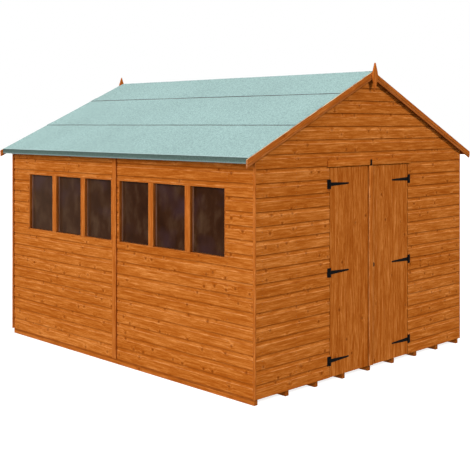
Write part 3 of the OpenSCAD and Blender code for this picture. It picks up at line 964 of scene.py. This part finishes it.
def veeOutline(a, b, low, high, both=False, v=matching["vee"], seam=matching["seam"]):
    # section of one tongued board from a to b, with its vees on the low face or on both
    a, b = a + seam / 2, b - seam / 2
    points = [(a, low + v), (a + v, low), (b - v, low), (b, low + v)]
    if both:
        return points + [(b, high - v), (b - v, high), (a + v, high), (a, high - v)]
    return points + [(b, high), (a, high)]


def roofSlope(node, side):
    stack = emptyStack()
    low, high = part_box(node)
    inner, outer = sorted((abs(low.x), abs(high.x)))
    length = (outer - inner) / math.cos(pitch)
    thick = (high.z - low.z - (outer - inner) * slope) * math.cos(pitch)
    top = Vector((inner, 0, high.z - thick / math.cos(pitch)))
    downhill = Vector((math.cos(pitch), 0, -math.sin(pitch)))
    upward = Vector((math.sin(pitch), 0, math.cos(pitch)))
    for i in range(math.ceil(length / matching["cover"])):
        a, b = i * matching["cover"], min((i + 1) * matching["cover"], length)
        rows = []
        for y in (low.y, high.y):
            row = []
            for down, up in veeOutline(a, b, 0.0, thick):
                p = top + downhill * down + upward * up
                x = min(max(p.x, inner), outer)     # plumb cuts at the ridge and the eaves
                row.append((side * x, y, p.z - (x - p.x) * slope))
            rows.append(row)
        addSolid(stack, prism(rows), (0, 1, 0), seedOf(node, i),
                 wide=(side * downhill.x, 0, downhill.z))
    makePiece(stack, node + "_matched", "root", [bareWood], [node])


roofSlope("roof_boards_left", -1)
roofSlope("roof_boards_right", 1)

floorStack = emptyStack()
deckLow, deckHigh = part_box("floor_deck")
for i in range(math.ceil((deckHigh.y - deckLow.y) / matching["cover"])):
    a = deckLow.y + i * matching["cover"]
    outline = veeOutline(a, min(a + matching["cover"], deckHigh.y), deckLow.z, deckHigh.z, True)
    addSolid(floorStack, prism([[(x, y, z) for y, z in outline]
                                for x in (deckLow.x, deckHigh.x)]), (1, 0, 0),
             seedOf("floor", i), wide=(0, 1, 0))
makePiece(floorStack, "floor_boards", "root", [bareWood], ["floor_deck"])
print("roof and floor boarded")


felt = dict(
    stations=74,        # sections along the roof
    ripple=0.0009,      # how far the felt lifts off the boards
    longSide=0.03,      # a side longer than this gets extra points near its corners
    bandNear=0.004,     # how far from the corner they stand
    bandFar=0.016,
    eaveBand=0.006,     # rubbed line on the turn over the eaves
    eaveWear=0.32,
    foldFace=0.004,     # what lies this near the outermost line hangs down
    foldTop=-0.30,
    foldFoot=0.20,
    footShare=0.12,     # the rubbed part of the hanging strip, from its foot
    topShare=0.4,       # where the dark part begins
    underBand=0.002,    # the foot's lower side
    underWear=-0.8,
)

bead = dict(
    felt_middle=(0.0062, 0.0015),   # width and height under each lap
    felt_ridge=(0.0080, 0.0016),
    lift=0.0002,        # clear of the felt under it
    shoulder=0.6,       # shares of width and height at the rounded corner
    swell=0.30,         # how much its size wanders
    swellPace=9.0,
    swellSeed=3.1,
)


def wander(y, seed):
    # a slow uneven wave between about -1 and 1
    return (math.sin(2.1 * y + seed) + 0.6 * math.sin(5.3 * y + 2.3 * seed)
            + 0.4 * math.sin(11.7 * y + 5.1 * seed)) / 2


def withBands(outline):
    # adds points beside the corners of long sides, so that wear stays near the corners
    points = []
    for i, here in enumerate(outline):
        there = outline[(i + 1) % len(outline)]
        points.append(here)
        length = math.dist(here, there)
        if length > felt["longSide"]:
            for step in (felt["bandNear"], felt["bandFar"], length - felt["bandFar"],
                         length - felt["bandNear"]):
                share = step / length
                points.append((here[0] + (there[0] - here[0]) * share,
                               here[1] + (there[1] - here[1]) * share))
    return points


def lapBead(stack, node, foot, side, start, end):
    # bitumen pressed out under the lower edge of a strip, whose black line also paints the
    # shadow under the lap
    wide, tall = bead[node]
    rise = Vector((side * math.sin(pitch), math.cos(pitch)))
    run = Vector((side * math.cos(pitch), -math.sin(pitch)))
    corner = Vector(foot) + rise * bead["lift"]
    section = [Vector((0, 0)), run * wide, (run * wide + rise * tall) * bead["shoulder"],
               rise * tall]
    steps = felt["stations"] * 2
    rows = []
    for k in range(steps + 1):
        y = start + (end - start) * k / steps
        swell = 1.0 + bead["swell"] * wander(bead["swellPace"] * y, side + bead["swellSeed"])
        rows.append([(corner.x + p.x * swell, y, corner.y + p.y * swell) for p in section])
    addSolid(stack, prism(rows), (0, 1, 0))


def feltStrip(node):
    # the frame's own section, cut into stations so that it can ripple
    stack, beads = emptyStack(), emptyStack()
    low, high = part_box(node)
    folded = node == "felt_lower"
    steps = felt["stations"]
    for n, part in enumerate(looseParts(node)):
        ends = [f for f in part.faces if abs(f.normal.y) > nearlyFlat
                and f.calc_center_median().y < (low.y + high.y) / 2]
        outline = withBands([(v.co.x, v.co.z) for v in ends[0].verts])
        part.free()
        side = 1 if sum(x for x, z in outline) > 0 else -1
        reach = max(abs(x) for x, z in outline)
        foldFace = reach - felt["foldFace"]
        foldHigh = max(z for x, z in outline if abs(x) > reach - slack)
        foldLow = min(z for x, z in outline)
        rows = []
        for k in range(steps + 1):
            y = low.y + (high.y - low.y) * k / steps
            lift = felt["ripple"] * min(1.0, 6 * min(k, steps - k) / steps)    # flat at the ends
            rows.append([(x, y, z + lift * wander(1.7 * y + 2.0 * abs(x), side))
                         for x, z in outline])

        def wearAndShadeAt(co, normal):
            out = abs(co.x)
            slopeSide = math.copysign(1, co.x)      # the ridge strip lies on both slopes
            downhill = normal.x * slopeSide * math.cos(pitch) - normal.z * math.sin(pitch)
            if not folded:
                return -1.0 if downhill > mostly else 0.0
            if normal.x * side > 0.85 and out > foldFace:
                share = (co.z - foldLow) / (foldHigh - foldLow)
                if share < felt["footShare"]:
                    return felt["foldFoot"]
                return (felt["foldTop"] * max(0.0, share - felt["topShare"])
                        / (1 - felt["topShare"]))
            if normal.z > mostly and out > reach - felt["eaveBand"]:
                return felt["eaveWear"]
            under = normal.z < -nearlyFlat and co.z < foldLow + felt["underBand"]
            return felt["underWear"] if under else 0.0

        first = len(stack["finish"])
        addSolid(stack, prism(rows), (0, 1, 0), seedOf(node, n), wearAndShadeAt=wearAndShadeAt)
        if folded:
            # the strip turned down over the eaves gets the darker copy of the felt, which paints
            # shade on it
            for m in range(first, len(stack["finish"])):
                if min(abs(stack["verts"][v].x) for v in stack["faces"][m]) > foldFace - slack:
                    stack["finish"][m] = 1
            continue
        for slopeSide in (-1, 1):
            feet = [p for p in outline if p[0] * slopeSide > foldFace]
            if feet:
                lapBead(beads, node, min(feet, key=lambda p: p[1]), slopeSide, low.y, high.y)
    makePiece(stack, node + "_strip", "root", [feltTop, feltFoldShaded], [node])
    if beads["faces"]:
        makePiece(beads, node + "_lap_bead", "root", [bitumenAndShadowFinish])


for node in ("felt_lower", "felt_middle", "felt_ridge"):
    feltStrip(node)
print("roof felted")


glazing = dict(
    beadW=0.0125,
    beadD=0.0090,
    flatShare=0.45,     # height of the level beads, as a share of the upright ones' width
    # the level beads are darker: painted shade under the head, and darker along the sill
    levelBeadDark=-0.9,
    arc=(22.5, 45.0, 67.5),     # points round a bead, in degrees
    edge=0.0008,        # of the glass
    uprightSeed=40,
)
glassStack, beadStack = emptyStack(), emptyStack()
sillTop, headLow = railBoxes[0][1].z, railBoxes[-1][0].z
postBoxes = sorted(partBoxes("window_posts"), key=lambda b: b[0].y)
for n, part in enumerate(looseParts("window_glass")):
    low, high = partBox(part)
    addSolid(glassStack, softened(part, glazing["edge"], 1), (0, 1, 0), seedOf("glass", n))
    # the beads stand on the glass, inside the opening between two posts
    sides = [b for b in postBoxes if b[1].y > low.y - 2 * slack and b[0].y < high.y + 2 * slack]
    yA, yB = sides[0][1].y, sides[-1][0].y
    w, d = glazing["beadW"], glazing["beadD"]
    flat = glazing["flatShare"]
    arc = [math.radians(turn) for turn in glazing["arc"]]
    quadrant = [(0.0, 0.0), (w, 0.0)] + [(w * math.cos(t), d * math.sin(t)) for t in arc]
    quadrant.append((0.0, d))
    for z0, sign in ((sillTop, 1), (headLow, -1)):
        rows = [[(low.x - out, y, z0 + sign * up * flat) for up, out in quadrant]
                for y in (yA, yB)]
        addSolid(beadStack, prism(rows), (0, 1, 0), seedOf("bead", n),
                 wearAndShadeAt=lambda co, normal: glazing["levelBeadDark"])
    for y0, sign in ((yA, 1), (yB, -1)):
        rows = [[(low.x - out, y0 + sign * up, z) for up, out in quadrant]
                for z in (sillTop + w * flat, headLow - w * flat)]
        addSolid(beadStack, prism(rows), (0, 0, 1), seedOf("bead", n + glazing["uprightSeed"]))
makePiece(glassStack, "window_panes", "root", [glassFinish], ["window_glass"])
makePiece(beadStack, "glazing_beads", "root", [beadWood])
print("windows glazed")


doors = dict(
    board=0.112,        # about how wide each board is
    vee=0.0016,
    veeWear=-0.12,
    veeFacing=0.4,      # what looks sideways more than this is a vee or a joint
    cutWear=-0.35,
    ledgeEdge=0.002,
    stripEdge=0.0035,
    # the cover strip's eased edges are pale: worn, with a painted highlight
    stripWornAndLit=0.70,
)


def doorLeaf(node, body):
    # upright tongued boards with a small vee between them on both faces
    stack = emptyStack()
    low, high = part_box(node)
    count = max(1, round((high.x - low.x) / doors["board"]))
    width = (high.x - low.x) / count

    def wearAndShadeAt(co, normal):
        if abs(normal.z) > mostly:
            return doors["cutWear"]
        return doors["veeWear"] if abs(normal.x) > doors["veeFacing"] else 0.0

    for i in range(count):
        outline = veeOutline(low.x + i * width, low.x + (i + 1) * width, low.y, high.y, True,
                             doors["vee"], 0.0)
        rows = [[(x, y, z) for x, y in outline] for z in (low.z, high.z)]
        addSolid(stack, prism(rows), (0, 0, 1), seedOf(node, i), wearAndShadeAt=wearAndShadeAt)
    makePiece(stack, node + "_matched", body, [doorWood], [node])


for hand in ("left", "right"):
    doorLeaf(hand + "_door_boards", hand + "_door")
    dressTimber(hand + "_door_ledges", hand + "_door", bareWood,
                doors["ledgeEdge"])
dressTimber("door_cover_strip", "right_door", doorWood, doors["stripEdge"],
            doors["stripWornAndLit"])
print("doors hung")


iron = dict(
    edge=0.0006,
    screwRadius=0.0042,
    screwRise=0.0016,
    strapScrews=(0.10, 0.38, 0.66, 0.90),   # shares of the strap's length
    tipScrew=0.8,           # the one in the tip is smaller by this share
    plateScrewsIn=0.013,    # from the plate's ends
    plateScrewsSide=0.012,  # from its outer side
    fittingEdge=0.0008,     # of the turn button and the lock
    lockScrewsIn=0.009,
    lockScrewRadius=0.0035,
    lockScrewRise=0.0012,
    endZone=0.004,          # a point this near the end of a strap lies on the end
)


def screwHead(x, y, z, facing, radius, rise=iron["screwRise"]):
    return disc(Vector((x, y, z)), (0, facing, 0), radius, rise, recessed=True)


def faceNear(part, end):
    # the front of a strap or plate, where its end lies
    return min(v.co.y for v in part.verts if abs(v.co.x - end) < iron["endZone"])


def hingeStraps(node, body, toLeft):
    stack = emptyStack()
    for part in looseParts(node):
        low, high = partBox(part)
        faceY = faceNear(part, low.x if toLeft else high.x)
        addSolid(stack, softened(part, iron["edge"], 1))
        for share in iron["strapScrews"]:
            away = share * (high.x - low.x)
            last = share == iron["strapScrews"][-1]
            addSolid(stack, screwHead(high.x - away if toLeft else low.x + away, faceY,
                                      (low.z + high.z) / 2, -1,
                                      iron["screwRadius"] * (iron["tipScrew"] if last else 1)))
    makePiece(stack, node + "_forged", body, [ironFinish], [node])


def hingePlates(node):
    stack = emptyStack()
    for part in looseParts(node):
        low, high = partBox(part)
        outer = max(low.x, high.x, key=abs)
        faceY = faceNear(part, outer)
        screwX = outer - math.copysign(iron["plateScrewsSide"], outer)
        addSolid(stack, softened(part, iron["edge"], 1), (0, 0, 1))
        for z in (low.z + iron["plateScrewsIn"], high.z - iron["plateScrewsIn"]):
            addSolid(stack, screwHead(screwX, faceY, z, -1, iron["screwRadius"]), (0, 0, 1))
    makePiece(stack, node + "_forged", "root", [ironFinish], [node])


def ironFitting(node, body, cornerScrews=False):
    stack = emptyStack()
    for part in looseParts(node):
        addSolid(stack, softened(part, iron["fittingEdge"]), (0, 0, 1))
    if cornerScrews:
        low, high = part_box(node)
        inset = iron["lockScrewsIn"]
        for x in (low.x + inset, high.x - inset):
            for z in (low.z + inset, high.z - inset):
                addSolid(stack, screwHead(x, high.y, z, 1, iron["lockScrewRadius"],
                                          iron["lockScrewRise"]))
    makePiece(stack, node + "_forged", body, [ironFinish], [node])


hingeStraps("left_hinge_straps", "left_door", False)
hingeStraps("right_hinge_straps", "right_door", True)
hingePlates("hinge_plates")
ironFitting("turn_button", "turn_button")
ironFitting("turn_button_screw", "root")
ironFitting("door_lock", "right_door", True)

keyPlate = dict(
    steps=20,           # points round the plate and round the keyhole
    fullness=0.75,      # 1 is an ellipse, and less is fuller at the corners
    rim=0.0006,         # height of the sloping rim
    rimIn=0.92,         # how wide the top of it is, as a share
    holeRadius=0.0034,
    holeUp=0.003,
    slotBelow=-0.6,     # sine of the turn under which the narrow slot begins
    slotHalf=0.0022,
    slotFoot=-0.009,
    slotCurve=0.2,      # nearer 0 keeps the slot's sides more upright
    floor=0.0004,       # thickness left under the sunk keyhole
    pinsIn=0.006,
    pinRadius=0.0022,
    pinRise=0.0006,
)


def escutcheon(node):
    # a long rounded plate with a keyhole sunk in it
    k = keyPlate
    low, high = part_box(node)
    middle = (low + high) / 2
    halfX, halfZ = (high.x - low.x) / 2, (high.z - low.z) / 2
    outer, hole = [], []
    for i in range(k["steps"]):
        t = 2 * math.pi * i / k["steps"]
        across, up = math.cos(t), math.sin(t)
        outer.append((halfX * math.copysign(abs(across) ** k["fullness"], across),
                      halfZ * math.copysign(abs(up) ** k["fullness"], up)))
        if up < k["slotBelow"]:
            hole.append((k["slotHalf"] * math.copysign(abs(across) ** k["slotCurve"], across),
                         k["slotFoot"]))
        else:
            hole.append((k["holeRadius"] * across, k["holeRadius"] * up + k["holeUp"]))
    bm = bmesh.new()
    skin(bm, [[(middle.x + x * grow, y, middle.z + z * grow) for x, z in ring]
              for y, ring, grow in ((high.y, outer, 1.0), (low.y + k["rim"], outer, 1.0),
                                    (low.y, outer, k["rimIn"]), (low.y, hole, 1.0),
                                    (high.y - k["floor"], hole, 1.0))])
    stack = emptyStack()
    addSolid(stack, closedSolid(bm), (0, 0, 1))
    for z in (low.z + k["pinsIn"], high.z - k["pinsIn"]):
        addSolid(stack, disc(Vector((middle.x, low.y, z)), (0, -1, 0), k["pinRadius"],
                             k["pinRise"], sides=10), (0, 0, 1))
    makePiece(stack, node + "_cut", "right_door", [ironFinish], [node])


escutcheon("keyhole_plate")
print("ironwork fitted")


white = (1, 1, 1, 1)

studio = dict(
    floorSize=60.0,
    floorDark=(0.46, 0.46, 0.46),
    floorLight=(0.48, 0.48, 0.48),
    floorGlow=0.82,
    floorDrop=0.0005,       # clear of the feet of the joists
    backdrop=1.0,           # brightness that the camera sees
    ambient=0.26,           # brightness that lights the shed
    key=dict(towards=(0.05, -0.78, 0.55), energy=2.36, spread=13),
    side=dict(towards=(-0.93, -0.08, 0.33), energy=3.40, spread=42),
    back=dict(towards=(0.30, 0.90, 0.50), energy=1.6, spread=60),
)


def studioFloor():
    bm = bmesh.new()
    bmesh.ops.create_grid(bm, x_segments=8, y_segments=8, size=studio["floorSize"])
    mesh = bpy.data.meshes.new("studio_floor")
    bm.to_mesh(mesh)
    bm.free()
    material, tree, surface = newMaterial("pale_floor")
    tree.links.new(rampOf(tree, noiseOf(tree, objectPlace(tree), 0.4, 2), [
        (0.3, studio["floorDark"]), (0.7, studio["floorLight"])]), surface.inputs["Base Color"])
    surface.inputs["Roughness"].default_value = 0.9
    surface.inputs["Specular IOR Level"].default_value = 0.0
    surface.inputs["Emission Color"].default_value = white
    surface.inputs["Emission Strength"].default_value = studio["floorGlow"]
    mesh.materials.append(material)
    floor = bpy.data.objects.new("studio_floor", mesh)
    floor.location.z = -studio["floorDrop"]
    floor.visible_diffuse = False       # a bright floor would light the shed from below
    floor.visible_glossy = False
    bpy.context.scene.collection.objects.link(floor)


studioFloor()


def softSky():
    # white behind the shed, and a dimmer even light on it
    world = bpy.data.worlds.new("soft_studio")
    world.use_nodes = True
    tree = world.node_tree
    shown = tree.nodes["Background"]
    shown.inputs["Color"].default_value = white
    shown.inputs["Strength"].default_value = studio["backdrop"]
    lit = addNode(tree, "ShaderNodeBackground")
    lit.inputs["Color"].default_value = white
    lit.inputs["Strength"].default_value = studio["ambient"]
    path = addNode(tree, "ShaderNodeLightPath")
    blend = addNode(tree, "ShaderNodeMixShader")
    tree.links.new(path.outputs["Is Camera Ray"], blend.inputs[0])
    tree.links.new(lit.outputs[0], blend.inputs[1])
    tree.links.new(shown.outputs[0], blend.inputs[2])
    tree.links.new(blend.outputs[0], tree.nodes["World Output"].inputs["Surface"])
    bpy.context.scene.world = world


softSky()

for name in ("key", "side", "back"):
    lamp = studio[name]
    sun = bpy.data.lights.new(name + "_light", "SUN")
    sun.energy = lamp["energy"]
    sun.angle = math.radians(lamp["spread"])
    holder = bpy.data.objects.new(name + "_light", sun)
    holder.rotation_euler = Vector((0, 0, 1)).rotation_difference(
        Vector(lamp["towards"]).normalized()).to_euler()
    bpy.context.scene.collection.objects.link(holder)

eye = dict(place=(-6.7194, -6.8736, 2.2498), heading=-44.6235, lens=69.66, rise=-0.23475)
camera = bpy.data.objects.new("viewer", bpy.data.cameras.new("viewer"))
camera.data.sensor_width = 36
camera.data.lens = eye["lens"]
camera.data.shift_y = eye["rise"]
camera.location = eye["place"]
camera.rotation_euler = (math.radians(90), 0, math.radians(eye["heading"]))
bpy.context.scene.collection.objects.link(camera)
bpy.context.scene.camera = camera
bpy.context.scene.view_settings.view_transform = "Standard"
print("stage set")
